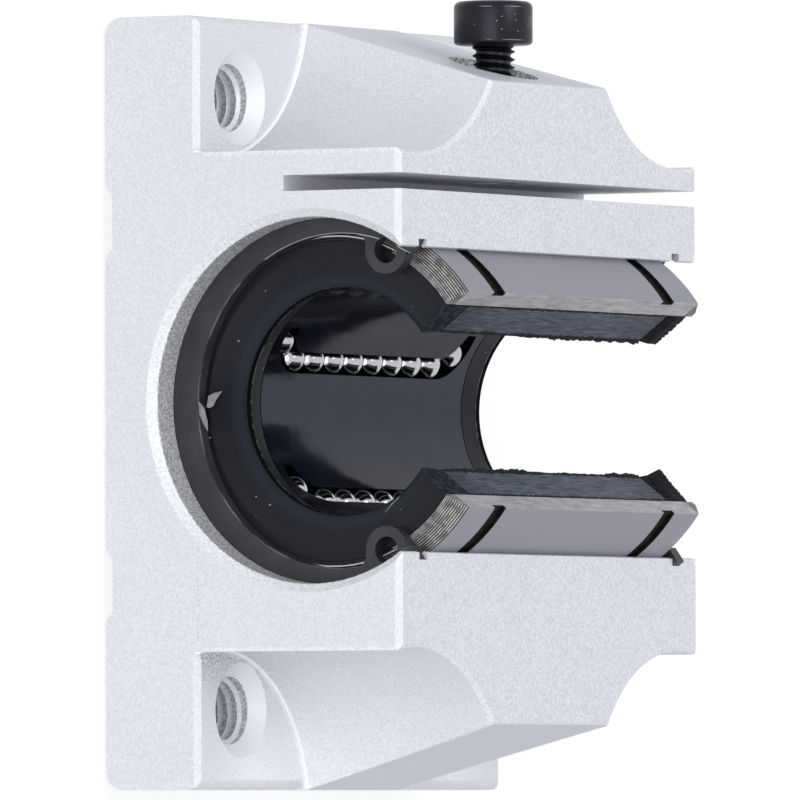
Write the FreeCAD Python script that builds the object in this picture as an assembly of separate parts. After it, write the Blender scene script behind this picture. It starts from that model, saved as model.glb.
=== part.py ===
import FreeCAD, Part
import math
import os

# Linear bearing block for a supported round shaft, in millimetres.
# X runs across the block, Y along the shaft, Z up from the mounting face to the open side.
# The origin is the centre of the mounting face.

# Block
block_width = 68.0
block_length = 51.0
shaft_height = 21.0
open_face_rise = 9.4
flange_thickness = 9.6
flank_taper = 5.7
leg_thickness = 2.28
slit_width = 1.4
slit_below_axis = 2.5
post_thickness = 1.9
base_corner_radius = 1.6
flange_edge_radius = 1.1
edge_break = 0.5
bore_end_break = 0.75
mouth_break = 0.4

# Bolt pockets and tapped holes of the block
pocket_radius = 15.0
pocket_inset = 3.0
bolt_edge = 7.0
bolt_hole_diameter = 6.0
bolt_countersink_diameter = 8.4
pocket_floor_break = 0.35
pocket_rim_break = 0.35

# Relief grooves of the mounting face
relief_offset = 16.0
relief_width = 6.4
relief_floor_width = 4.7
relief_depth = 0.7

# Shaft, balls and the loops that they run in
shaft_diameter = 20.0
ball_diameter = 3.175
ball_gap = 0.085
track_clearance = 0.075
channel_clearance = 0.0625
circuit_count = 4
circuit_pitch = 72.0
row_half_angle = 14.4
return_lift = 1.2
turn_lift = 0.1

# Bushing sleeve, ball cage and end seals
bushing_recess = 4.5
slot_half_angle = 36.0
sleeve_wall = 2.75
land_wall = 1.9
sleeve_chamfer = 1.4
sleeve_fit_clearance = 0.02
ring_groove_inset = 5.75
ring_groove_width = 1.6
ring_groove_depth = 0.3
track_half_angle = 12.0
track_margin = 0.25
track_root_depth = 0.3
relief_half_angle = 10.0
return_clearance = 0.05
cage_shaft_gap = 0.3
cage_track_gap = 0.15
cage_sleeve_gap = 0.12
cage_track_gap_angle = 0.7
cage_end_wall = 0.35
cage_end_gap = 0.15
seal_thickness = 4.0
seal_clearance = 0.05
seal_rim_width = 1.0
seal_dish_depth = 1.1
seal_lip_depth = 1.4
seal_lip_height = 0.5
seal_lip_length = 0.7
torn_inner_radius = 11.2
torn_inner_depth = 0.7
torn_outer_depth = 1.7
torn_reach = 1.2

# Circlips
circlip_thickness = 1.2
circlip_groove_depth = 0.83
circlip_clearance = 0.05
circlip_width = 3.35
circlip_end_width = 0.95
lug_margin_angle = 11.4
lug_radius = 2.1
lug_hole_diameter = 2.35
lug_reach = 2.4
lug_blend = 1.0
band_overrun_angle = 9.0
circlip_back_turn = -2.5

# Adjusting screw
screw_above_axis = 3.5
screw_stand_off = 2.07
screw_diameter = 4.0
screw_hole_clearance = 0.05
screw_tip_gap = 0.3
screw_tip_chamfer = 0.5
screw_head_diameter = 7.0
screw_head_height = 3.85
screw_head_chamfer = 0.35
socket_across_flats = 3.0
socket_depth = 2.0
spotface_diameter = 8.0
spotface_depth = 0.22

# Overshoot of cutters, past the faces that they leave by
past = 2.0

# Sizes that follow from the ones above
half_width = block_width / 2
half_length = block_length / 2
open_face_height = shaft_height + open_face_rise
flank_slope = flank_taper / (open_face_height - flange_thickness)
shaft_radius = shaft_diameter / 2
ball_radius = ball_diameter / 2
channel_radius = ball_radius + channel_clearance
loaded_radius = shaft_radius + ball_radius
return_radius = loaded_radius + return_lift
track_radius = shaft_radius + ball_diameter + track_clearance
sleeve_radius = track_radius + sleeve_wall
land_radius = sleeve_radius - land_wall
relief_radius = return_radius + ball_radius + return_clearance
bore_radius = sleeve_radius + sleeve_fit_clearance
bushing_half = half_length - bushing_recess
cage_half = bushing_half - seal_thickness - cage_end_gap
cage_inner_radius = shaft_radius + cage_shaft_gap
cage_outer_radius = land_radius - cage_sleeve_gap
seal_outer_radius = land_radius - seal_clearance
slit_inner = bore_radius + leg_thickness
slit_outer = slit_inner + slit_width
neck_half_width = slit_outer + post_thickness
circlip_groove_radius = bore_radius + circlip_groove_depth
circlip_radius = circlip_groove_radius - circlip_clearance
circlip_outer_face = bushing_half + circlip_thickness
mouth_half_width = math.sqrt(bore_radius ** 2 - open_face_rise ** 2)
mouth_half_angle = math.degrees(math.acos(open_face_rise / bore_radius))
screw_height = shaft_height + screw_above_axis

# Frame of a ball loop before it is turned into place: the shaft axis is the origin, +Z points
# outwards through the middle of the loop, and the return row is on the +X side
loop_tilt = math.degrees(math.atan2(
    (return_radius - loaded_radius) * math.cos(math.radians(row_half_angle)),
    (return_radius + loaded_radius) * math.sin(math.radians(row_half_angle))))
loop_centre = FreeCAD.Vector(
    (return_radius - loaded_radius) / 2 * math.sin(math.radians(row_half_angle)),
    0,
    (return_radius + loaded_radius) / 2 * math.cos(math.radians(row_half_angle)))
turn_radius = 0.5 * math.sqrt(
    loaded_radius ** 2 + return_radius ** 2
    - 2 * loaded_radius * return_radius * math.cos(math.radians(2 * row_half_angle)))
straight_half = cage_half - cage_end_wall - channel_radius - turn_radius

# The balls of a half turn stand a pitch apart as the crow flies, so it counts as a run of that many pitches
ball_pitch = ball_diameter + ball_gap
turn_run = ball_pitch * math.pi / 2 / math.asin(ball_pitch / 2 / turn_radius)

origin = FreeCAD.Vector(0, 0, 0)
axis_x = FreeCAD.Vector(1, 0, 0)
axis_y = FreeCAD.Vector(0, 1, 0)
axis_z = FreeCAD.Vector(0, 0, 1)


def flank_at(height):
    """Half width of the block's tapered flanks at a height above the mounting face."""
    return half_width - (height - flange_thickness) * flank_slope


def filled(corners):
    """Flat face inside a closed polygon."""
    return Part.Face(Part.makePolygon(corners + corners[:1]))


def along_y(outline, start, end):
    """Solid of an X-Z outline between two Y positions."""
    face = filled([FreeCAD.Vector(x, start, z) for x, z in outline])
    return face.extrude(FreeCAD.Vector(0, end - start, 0))


def disc(radius, x, z, start, end):
    """Cylinder along Y between two Y positions."""
    return Part.makeCylinder(radius, end - start, FreeCAD.Vector(x, start, z), axis_y)


def turned(outline, half_gap=0.0):
    """Solid turned about the shaft axis from corners of radius and Y, with any gap about +Z."""
    face = filled([FreeCAD.Vector(radius, y, 0) for radius, y in outline])
    face.rotate(origin, axis_y, half_gap - 90)
    solid = face.revolve(origin, axis_y, 360 - 2 * half_gap)
    solid.translate(FreeCAD.Vector(0, 0, shaft_height))
    return solid


def wedge(half_angle, half_span):
    """Cutter of the angle about +Z that opens from the shaft axis towards the open side."""
    reach = 2 * block_width
    side = reach * math.tan(math.radians(half_angle))
    top = shaft_height + reach
    return along_y([(0, shaft_height), (side, top), (-side, top)], -half_span, half_span)


def block_blank():
    """The extruded bar, cut to length with its edges broken."""
    outline = [
        (-half_width, 0),
        (half_width, 0),
        (half_width, flange_thickness),
        (flank_at(open_face_height), open_face_height),
        (-flank_at(open_face_height), open_face_height),
        (-half_width, flange_thickness),
    ]
    bar = along_y(outline, -half_length, half_length)
    base_edges = [e for e in bar.Edges if e.BoundBox.YLength > half_length and e.BoundBox.ZMax < edge_break]
    bar = bar.makeFillet(base_corner_radius, base_edges)
    end_edges = [
        e for e in bar.Edges
        if e.BoundBox.YLength < edge_break and e.BoundBox.ZMin > flange_thickness
    ]
    bar = bar.makeChamfer(edge_break, end_edges)
    top_edges = [
        e for e in bar.Edges
        if e.BoundBox.YLength > half_length and e.BoundBox.ZMin > open_face_height - edge_break / 2
    ]
    return bar.makeFillet(edge_break, top_edges)


def bolt_pocket(side, end):
    """Cutter of one milled pocket: a coved floor, a round wall, a broken top rim and the flange's edges."""
    x = side * (neck_half_width + pocket_radius)
    y = end * (half_length - pocket_inset)
    floor_radius = pocket_radius - pocket_floor_break
    wall_foot = flange_thickness + pocket_floor_break
    foot = Part.makeCone(
        floor_radius, pocket_radius, pocket_floor_break, FreeCAD.Vector(x, y, flange_thickness), axis_z)
    wall = Part.makeCylinder(
        pocket_radius, open_face_height + past - wall_foot, FreeCAD.Vector(x, y, wall_foot), axis_z)
    rim = Part.makeCone(
        pocket_radius - pocket_rim_break, pocket_radius + pocket_rim_break + past,
        2 * pocket_rim_break + past,
        FreeCAD.Vector(x, y, open_face_height - 2 * pocket_rim_break), axis_z)
    corner_x = side * (half_width - flange_edge_radius)
    corner_z = flange_thickness - flange_edge_radius
    corner = along_y(
        [(corner_x, corner_z), (corner_x + side * (flange_edge_radius + past), corner_z),
         (corner_x + side * (flange_edge_radius + past), flange_thickness), (corner_x, flange_thickness)],
        -half_length - past, half_length + past)
    corner = corner.cut(disc(flange_edge_radius, corner_x, corner_z, -half_length - past, half_length + past))
    end_face = end * half_length
    end_break = filled([
        FreeCAD.Vector(0, end_face - end * edge_break, flange_thickness),
        FreeCAD.Vector(0, end_face + end * past, flange_thickness),
        FreeCAD.Vector(0, end_face + end * past, flange_thickness - edge_break),
        FreeCAD.Vector(0, end_face, flange_thickness - edge_break),
    ]).extrude(FreeCAD.Vector(side * (half_width + past), 0, 0))
    floor = Part.makeCylinder(floor_radius, flange_thickness, FreeCAD.Vector(x, y, 0), axis_z)
    return [foot, wall, rim, corner.common(floor), end_break.common(floor)]


def bore_cutter():
    """Cutter of the bore with broken ends, the circlip grooves and the broken edges of its mouth."""
    bore = turned([
        (0, -half_length - past),
        (bore_radius + bore_end_break + past, -half_length - past),
        (bore_radius, -half_length + bore_end_break),
        (bore_radius, half_length - bore_end_break),
        (bore_radius + bore_end_break + past, half_length + past),
        (0, half_length + past),
    ])
    cutters = [bore]
    for end in (-1, 1):
        near = end * (bushing_half - circlip_clearance)
        far = end * (circlip_outer_face + circlip_clearance)
        cutters.append(disc(circlip_groove_radius, 0, shaft_height, min(near, far), max(near, far)))
    break_x = math.sqrt(bore_radius ** 2 - (open_face_rise - mouth_break) ** 2)
    mouth = [
        (mouth_half_width + mouth_break, open_face_height),
        (break_x, open_face_height - mouth_break),
        (0, open_face_height - mouth_break),
        (0, open_face_height + past),
        (mouth_half_width + mouth_break, open_face_height + past),
    ]
    for side in (-1, 1):
        cutters.append(along_y([(side * x, z) for x, z in mouth], -half_length - past, half_length + past))
    return cutters


def slit_cutter():
    """Cutter of the saw slit that lets the leg beside the bore flex."""
    return Part.makeBox(
        slit_width, block_length + 2 * past, open_face_rise + slit_below_axis + past,
        FreeCAD.Vector(-slit_outer, -half_length - past, shaft_height - slit_below_axis))


def relief_groove(side):
    """Cutter of one shallow groove along the mounting face."""
    x = side * relief_offset
    slope = (relief_width - relief_floor_width) / 2 / relief_depth
    mouth = relief_width / 2 + slope * past
    floor = relief_floor_width / 2
    outline = [(x - mouth, -past), (x + mouth, -past), (x + floor, relief_depth), (x - floor, relief_depth)]
    return along_y(outline, -half_length - past, half_length + past)


def bolt_hole(side, end):
    """Cutter of one tapped hole through the flange, countersunk in the pocket."""
    x = side * (half_width - bolt_edge)
    y = end * (half_length - bolt_edge)
    hole_radius = bolt_hole_diameter / 2
    sink_radius = bolt_countersink_diameter / 2
    sink_depth = sink_radius - hole_radius
    hole = Part.makeCylinder(
        hole_radius, flange_thickness + 2 * past, FreeCAD.Vector(x, y, -past), axis_z)
    sink = Part.makeCone(
        hole_radius, sink_radius, sink_depth, FreeCAD.Vector(x, y, flange_thickness - sink_depth), axis_z)
    return [hole, sink]


def screw_hole():
    """Cutter of the adjusting screw's hole into the slit, with the spot face for its head."""
    floor = flank_at(screw_height + spotface_diameter / 2) - spotface_depth
    hole = Part.makeCylinder(
        screw_diameter / 2 + screw_hole_clearance, half_width - slit_outer + slit_width / 2,
        FreeCAD.Vector(-half_width, 0, screw_height), axis_x)
    spotface = Part.makeCylinder(
        spotface_diameter / 2, half_width - floor, FreeCAD.Vector(-half_width, 0, screw_height), axis_x)
    return [hole, spotface]


def housing():
    """The aluminium block."""
    cutters = bore_cutter() + [slit_cutter()] + screw_hole()
    for side in (-1, 1):
        cutters.append(relief_groove(side))
        for end in (-1, 1):
            cutters += bolt_pocket(side, end) + bolt_hole(side, end)
    return block_blank().cut(cutters)


def seat_loop(shape, centre_angle):
    """Turns a shape from the ball loop's own flat frame to its place about the shaft."""
    shape.rotate(origin, axis_y, -loop_tilt)
    shape.translate(loop_centre)
    shape.rotate(origin, axis_y, 180 + centre_angle)
    shape.translate(FreeCAD.Vector(0, 0, shaft_height))
    return shape


def circuit_angles():
    """Middle angle of each ball loop, from straight down towards the adjusting screw."""
    return [(i - (circuit_count - 1) / 2) * circuit_pitch for i in range(circuit_count)]


def channel_section(x):
    """Groove section across a row of balls: straight sides outwards, half an octagon inwards."""
    top = sleeve_radius - cage_inner_radius
    flat = channel_radius * math.tan(math.pi / 8)
    half = [(channel_radius, top), (channel_radius, -flat), (flat, -channel_radius)]
    mirrored = [(-side, height) for side, height in reversed(half)]
    return filled([FreeCAD.Vector(x + side, 0, height) for side, height in half + mirrored])


def ball_channel():
    """Cutter of one oval ball groove, lying flat: two straight rows and two half turns."""
    pieces = []
    for x in (-turn_radius, turn_radius):
        row = channel_section(x)
        row.translate(FreeCAD.Vector(0, -straight_half, 0))
        pieces.append(row.extrude(FreeCAD.Vector(0, 2 * straight_half, 0)))
    for end in (-1, 1):
        turn = channel_section(turn_radius).revolve(origin, axis_z, end * 180)
        turn.translate(FreeCAD.Vector(0, end * straight_half, 0))
        pieces.append(turn)
    return pieces


def ring_sector(middle_angle, inner, outer, half_angle, half_span):
    """Part of a ring about the shaft, about an angle from straight down towards the adjusting screw."""
    face = filled([
        FreeCAD.Vector(0, -half_span, inner),
        FreeCAD.Vector(0, half_span, inner),
        FreeCAD.Vector(0, half_span, outer),
        FreeCAD.Vector(0, -half_span, outer),
    ])
    face.rotate(origin, axis_y, 180 + middle_angle - half_angle)
    sector = face.revolve(origin, axis_y, 2 * half_angle)
    sector.translate(FreeCAD.Vector(0, 0, shaft_height))
    return sector


def ball_track(centre_angle):
    """One raised track inside the sleeve, over the loaded row of a ball loop."""
    loaded_angle = centre_angle - row_half_angle
    root = land_radius + track_root_depth
    return ring_sector(loaded_angle, track_radius, root, track_half_angle, straight_half + track_margin)


def track_pocket(centre_angle):
    """Cutter of the cage's hollow that clears one raised track of the sleeve."""
    loaded_angle = centre_angle - row_half_angle
    bottom = track_radius - cage_track_gap
    half_angle = track_half_angle + cage_track_gap_angle
    half_span = straight_half + track_margin + cage_track_gap
    return ring_sector(loaded_angle, bottom, land_radius, half_angle, half_span)


def return_relief(centre_angle):
    """Cutter of the sleeve's shallow groove over the return row of a ball loop."""
    return_angle = centre_angle + row_half_angle
    return ring_sector(return_angle, cage_outer_radius, relief_radius, relief_half_angle, cage_half)


def bushing_sleeve():
    """The slotted steel sleeve: ring grooves and chamfers outside, tracks and return grooves inside."""
    groove_out = bushing_half - ring_groove_inset
    groove_in = groove_out - ring_groove_width
    groove_radius = sleeve_radius - ring_groove_depth
    half_outline = [
        (land_radius, bushing_half),
        (sleeve_radius - sleeve_chamfer, bushing_half),
        (sleeve_radius, bushing_half - sleeve_chamfer),
        (sleeve_radius, groove_out),
        (groove_radius, groove_out),
        (groove_radius, groove_in),
        (sleeve_radius, groove_in),
    ]
    mirrored = [(radius, -y) for radius, y in reversed(half_outline)]
    sleeve = turned(half_outline + mirrored, slot_half_angle)
    sleeve = sleeve.cut([return_relief(angle) for angle in circuit_angles()])
    return sleeve.fuse([ball_track(angle) for angle in circuit_angles()])


def ball_cage():
    """The moulded cage with its oval ball grooves, the hollows for the tracks and the slot."""
    cage = turned([
        (cage_inner_radius, -cage_half),
        (cage_outer_radius, -cage_half),
        (cage_outer_radius, cage_half),
        (cage_inner_radius, cage_half),
    ], slot_half_angle)
    cutters = []
    for angle in circuit_angles():
        cutters.append(track_pocket(angle))
        cutters += [seat_loop(piece, angle) for piece in ball_channel()]
    return cage.cut(cutters)


def loop_point(distance):
    """Point of a ball loop's centre line, lying flat, at a distance along it."""
    straight = 2 * straight_half
    side, along = divmod(distance, straight + turn_run)
    sign = 1 if side else -1
    if along < straight:
        return FreeCAD.Vector(sign * turn_radius, sign * (straight_half - along), 0)
    phase = math.pi * (along - straight) / turn_run
    return FreeCAD.Vector(
        sign * turn_radius * math.cos(phase),
        -sign * (straight_half + turn_radius * math.sin(phase)),
        turn_lift * math.sin(phase))


def ball():
    """One ball at the origin: twenty flat facets whose corners lie on the true sphere."""
    corner_count = 5
    height = ball_radius / math.sqrt(corner_count)
    reach = 2 * height
    top = FreeCAD.Vector(0, 0, ball_radius)
    bottom = FreeCAD.Vector(0, 0, -ball_radius)
    upper = []
    lower = []
    for i in range(corner_count):
        turn = 2 * math.pi * i / corner_count
        half_step = turn + math.pi / corner_count
        upper.append(FreeCAD.Vector(reach * math.cos(turn), reach * math.sin(turn), height))
        lower.append(FreeCAD.Vector(reach * math.cos(half_step), reach * math.sin(half_step), -height))
    faces = []
    for i in range(corner_count):
        after = (i + 1) % corner_count
        faces.append(filled([top, upper[i], upper[after]]))
        faces.append(filled([upper[i], lower[i], upper[after]]))
        faces.append(filled([upper[after], lower[i], lower[after]]))
        faces.append(filled([bottom, lower[after], lower[i]]))
    return Part.Solid(Part.Shell(faces))


def ball_circuit(centre_angle):
    """All balls of one loop, evenly spaced along it."""
    length = 4 * straight_half + 2 * turn_run
    count = int(length / ball_pitch)
    balls = []
    for i in range(count):
        one = ball()
        one.translate(loop_point(length * i / count))
        balls.append(seat_loop(one, centre_angle))
    return Part.makeCompound(balls)


def end_seal(end):
    """One dished wiper ring with its lip on the shaft."""
    outline = [
        (seal_outer_radius, 0),
        (seal_outer_radius - seal_rim_width, 0),
        (shaft_radius + seal_lip_height, seal_dish_depth),
        (shaft_radius, seal_lip_depth),
        (shaft_radius, seal_lip_depth + seal_lip_length),
        (cage_inner_radius, seal_thickness),
        (seal_outer_radius, seal_thickness),
    ]
    return turned([(radius, end * (bushing_half - depth)) for radius, depth in outline], slot_half_angle)


def torn_corner(side):
    """Cutter of the far seal's corner that the saw tore out beside the slot."""
    angle = math.radians(slot_half_angle)
    outward = FreeCAD.Vector(side * math.sin(angle), 0, math.cos(angle))
    inward = FreeCAD.Vector(side * math.cos(angle), 0, -math.sin(angle))
    centre = FreeCAD.Vector(0, bushing_half, shaft_height)
    corners = [
        (torn_inner_radius, -torn_inner_depth),
        (seal_outer_radius + past, -torn_outer_depth),
        (seal_outer_radius + past, past),
        (torn_inner_radius, past),
    ]
    face = filled([centre + outward * radius + axis_y * y for radius, y in corners])
    return face.extrude(inward * torn_reach)


def circlip(end):
    """One internal circlip: a tapering band with a lug and a plier hole at each end."""
    near, far = sorted((end * bushing_half, end * circlip_outer_face))
    inner_diameter = 2 * circlip_radius - circlip_width - circlip_end_width
    inner_rise = (circlip_width - circlip_end_width) / 2
    lug_angle = mouth_half_angle + lug_margin_angle
    band = disc(circlip_radius, 0, shaft_height, near, far)
    band = band.cut([
        disc(inner_diameter / 2, 0, shaft_height + inner_rise, near - past, far + past),
        wedge(lug_angle - band_overrun_angle, half_length),
    ])
    lugs = []
    holes = []
    for side in (-1, 1):
        x = side * (circlip_radius - lug_reach) * math.sin(math.radians(lug_angle))
        z = shaft_height + (circlip_radius - lug_reach) * math.cos(math.radians(lug_angle))
        lugs.append(disc(lug_radius, x, z, near, far))
        holes.append(disc(lug_hole_diameter / 2, x, z, near - past, far + past))
    ring = band.fuse(lugs).removeSplitter()
    lug_base = shaft_height + circlip_radius * math.cos(math.radians(lug_angle))
    inner_corners = []
    for edge in ring.Edges:
        box = edge.BoundBox
        across = max(box.XLength, box.ZLength) < circlip_clearance
        radius = math.hypot(box.Center.x, box.Center.z - shaft_height)
        if across and radius < circlip_radius - lug_reach + lug_blend and box.Center.z < lug_base:
            inner_corners.append(edge)
    return ring.makeFillet(lug_blend, inner_corners).cut(holes)


def circlip_back():
    """The far circlip, which sits a little turned in its groove."""
    ring = circlip(1)
    ring.rotate(FreeCAD.Vector(0, 0, shaft_height), axis_y, circlip_back_turn)
    return ring


def ring_edges(shape, x):
    """The edges of a shape that lie flat at one X position."""
    near = screw_hole_clearance
    return [e for e in shape.Edges if abs(e.BoundBox.XMin - x) < near and abs(e.BoundBox.XMax - x) < near]


def adjusting_screw():
    """The socket head cap screw, backed out with its tip just short of the slit."""
    seat = -(flank_at(screw_height) + screw_stand_off)
    tip = -(slit_outer + screw_tip_gap)
    top = seat - screw_head_height
    head = Part.makeCylinder(
        screw_head_diameter / 2, screw_head_height, FreeCAD.Vector(top, 0, screw_height), axis_x)
    head = head.makeChamfer(screw_head_chamfer, ring_edges(head, top))
    shank = Part.makeCylinder(
        screw_diameter / 2 - screw_hole_clearance, tip - seat, FreeCAD.Vector(seat, 0, screw_height), axis_x)
    shank = shank.makeChamfer(screw_tip_chamfer, ring_edges(shank, tip))
    side_count = 6
    corner = socket_across_flats / 2 / math.cos(math.pi / side_count)
    hexagon = []
    for i in range(side_count):
        turn = 2 * math.pi * i / side_count
        hexagon.append(FreeCAD.Vector(top, corner * math.cos(turn), screw_height + corner * math.sin(turn)))
    socket = filled(hexagon).extrude(FreeCAD.Vector(socket_depth, 0, 0))
    return head.fuse(shank).cut(socket)


def write_parts(parts):
    """One STEP file for each node."""
    os.makedirs("parts", exist_ok=True)
    for name, shape in parts.items():
        shape.exportStep("parts/" + name + ".step")


nodes = {
    "housing": housing(),
    "bushing_sleeve": bushing_sleeve(),
    "ball_cage": ball_cage(),
    "end_seal_front": end_seal(-1),
    "end_seal_back": end_seal(1).cut([torn_corner(-1), torn_corner(1)]),
    "circlip_front": circlip(-1),
    "circlip_back": circlip_back(),
    "adjusting_screw": adjusting_screw(),
}
for number, angle in enumerate(circuit_angles(), 1):
    nodes["ball_circuit_" + str(number)] = ball_circuit(angle)
write_parts(nodes)
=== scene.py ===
import math
import random
import bmesh
import bpy
from mathutils import Matrix, Vector


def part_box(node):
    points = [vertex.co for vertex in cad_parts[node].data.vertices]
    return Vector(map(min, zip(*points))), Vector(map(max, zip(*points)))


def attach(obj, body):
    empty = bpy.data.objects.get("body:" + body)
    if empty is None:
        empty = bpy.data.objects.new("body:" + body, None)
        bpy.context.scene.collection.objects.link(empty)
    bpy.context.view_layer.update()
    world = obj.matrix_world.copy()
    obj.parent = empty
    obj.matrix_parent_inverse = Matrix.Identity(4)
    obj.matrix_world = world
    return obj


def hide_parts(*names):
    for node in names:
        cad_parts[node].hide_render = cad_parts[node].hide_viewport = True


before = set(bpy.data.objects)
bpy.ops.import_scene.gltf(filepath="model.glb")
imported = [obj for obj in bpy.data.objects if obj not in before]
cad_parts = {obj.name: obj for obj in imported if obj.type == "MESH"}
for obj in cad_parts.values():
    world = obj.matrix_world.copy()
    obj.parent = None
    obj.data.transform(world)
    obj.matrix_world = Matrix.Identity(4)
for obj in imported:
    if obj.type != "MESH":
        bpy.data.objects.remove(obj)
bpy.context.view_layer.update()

# Sizes in metres, as the block was modelled: X across it, Y along the shaft, Z up from the mounting face
MM = 0.001
SHAFT_HEIGHT = 21.0 * MM
SLOT_HALF_ANGLE = math.radians(36.0)
CAGE_HALF = 16.85 * MM
CAGE_BORE = 10.3 * MM
CAGE_RADIUS = 13.98 * MM
CAGE_DARK_FROM = 11.5 * MM
CAGE_SHINE = (3.0 * MM, 8.5 * MM)
SEAL_LIP = 10.0 * MM
SEAL_END = 21.0 * MM
SEAL_LIP_EDGE = SEAL_END - 1.7 * MM
SEAL_LIP_BACK = SEAL_END - 2.02 * MM
SEAL_LINE = SEAL_END - 2.06 * MM
SEAL_SHINE = (1.0 * MM, 9.0 * MM)
SLEEVE_CHAMFER = 20.33 * MM
SLEEVE_CHAMFER_HALF = 0.7 * MM
SLEEVE_GLINT_RADIUS = 14.45 * MM
SLEEVE_DARK_FROM = 7.0 * MM
RING_GROOVE = 14.45 * MM
RING_GROOVE_HALF = 0.95 * MM
RING_GROOVE_RADIUS = 15.8 * MM
RING_GROOVE_DEPTH = 0.21 * MM
TURNING_FEED = 0.165 * MM
BORE_RADIUS = 16.02 * MM
BORE_CHAMFER_FOOT = 24.76 * MM
POCKET_PLACE = (36.6 * MM, 22.5 * MM, 0.0)
POCKET_RADIUS = 15.0 * MM
POCKET_FLOOR = 9.6 * MM
POCKET_GRIT = (21.8 * MM, 25.5 * MM)
POCKET_PALE_X = (22.5 * MM, 30.0 * MM)
POCKET_PALE_Y = (23.0 * MM, 17.0 * MM)
POCKET_PALE_TOP = 25.0 * MM
FLANK_LEAN = (1.0, 0.0, 0.274)
FLANK_REACH = 36.63 * MM
SPOTFACE_PLACE = (0.0, 0.0, 24.5 * MM)
SPOTFACE_RADIUS = 4.0 * MM
SPOTFACE_OUTSIDE = -28.0 * MM
CIRCLIP_EYE = (0.0, 0.0, 22.2 * MM)
CIRCLIP_EYE_RADIUS = 14.65 * MM
CIRCLIP_FACE = 22.07 * MM
CIRCLIP_GLINT_SIDE = -12.5 * MM
BALL_DIAMETER = 3.175 * MM
BOLT_X = 27.0 * MM
BOLT_Y = 18.5 * MM
BOLT_SINK_RADIUS = 4.2 * MM
BOLT_SINK_FOOT = 8.4 * MM
BOLT_THREAD_BASE = 0.8 * MM
BOLT_THREAD_TOP = 8.05 * MM
BOLT_THREAD_RADIUS = 3.0 * MM
BOLT_THREAD_PITCH = 1.0 * MM
BOLT_RIDGE = 0.28 * MM
BOLT_RIDGE_INSET = 0.12 * MM
SCREW_THREAD_RADIUS = 1.95 * MM
SCREW_THREAD_PITCH = 0.7 * MM
SCREW_RIDGE = 0.38 * MM
SHANK_RADIUS = 1.55 * MM
POINT_RADIUS = 1.3 * MM
HEAD_HEIGHT = 3.85 * MM
HEAD_RADIUS = 3.5 * MM
HEAD_ROUND = 0.6 * MM
HEAD_FACING = (0.0, -0.7, 0.714)
HEAD_LIT_SPAN = (20.2 * MM, 20.7 * MM)
SOCKET_FLATS = 3.0 * MM
SOCKET_DEPTH = 2.0 * MM
FLOOR_LEVEL = -0.3 * MM
FLOOR_HALF = 6.0
LAMP_TARGET = (0, 0, 0.015)


def colour(code):
    """A colour written as sRGB hex, as linear red, green, blue and alpha."""
    parts = [int(code[i:i + 2], 16) / 255 for i in (1, 3, 5)]
    linear = [p / 12.92 if p <= 0.04045 else ((p + 0.055) / 1.055) ** 2.4 for p in parts]
    return (*linear, 1.0)


def per_mm(size):
    """The texture scale at which a pattern repeats about every so many millimetres."""
    return 1 / (size * MM)


def feed(tree, node, inputs):
    """Gives a node its inputs, each a value or the output that it is linked to."""
    for key, value in inputs.items():
        if isinstance(value, bpy.types.NodeSocket):
            tree.links.new(value, node.inputs[key])
        else:
            node.inputs[key].default_value = value


def add(tree, kind, inputs=None, **settings):
    """Adds a node with its settings and inputs."""
    made = tree.nodes.new(kind)
    for name, value in settings.items():
        setattr(made, name, value)
    feed(tree, made, inputs or {})
    return made


def linked(name, data):
    """A new object in the scene."""
    made = bpy.data.objects.new(name, data)
    bpy.context.scene.collection.objects.link(made)
    return made


def surface(name):
    """A new material: itself, its tree, its shader and the coordinates of the piece, in metres."""
    material = bpy.data.materials.new(name)
    material.use_nodes = True
    tree = material.node_tree
    return material, tree, tree.nodes["Principled BSDF"], add(tree, "ShaderNodeTexCoord").outputs


def round_the_shaft(tree, place):
    """A place's coordinates, and how far it is from the shaft axis, behind the slot and off the middle planes."""
    x, y, z = add(tree, "ShaderNodeSeparateXYZ", {0: place}).outputs
    side = add(tree, "ShaderNodeMath", {0: x}, operation="ABSOLUTE").outputs[0]
    along = add(tree, "ShaderNodeMath", {0: y}, operation="ABSOLUTE").outputs[0]
    rise = add(tree, "ShaderNodeMath", {0: z, 1: SHAFT_HEIGHT}, operation="SUBTRACT").outputs[0]
    flat = add(tree, "ShaderNodeCombineXYZ", {0: side, 2: rise}).outputs[0]
    radius = add(tree, "ShaderNodeVectorMath", {0: flat}, operation="LENGTH").outputs["Value"]
    across = (math.cos(SLOT_HALF_ANGLE), 0, -math.sin(SLOT_HALF_ANGLE))
    behind = add(tree, "ShaderNodeVectorMath", {0: flat, 1: across}, operation="DOT_PRODUCT").outputs["Value"]
    return {"x": x, "y": y, "z": z, "radius": radius, "behind": behind, "along": along, "side": side}


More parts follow.
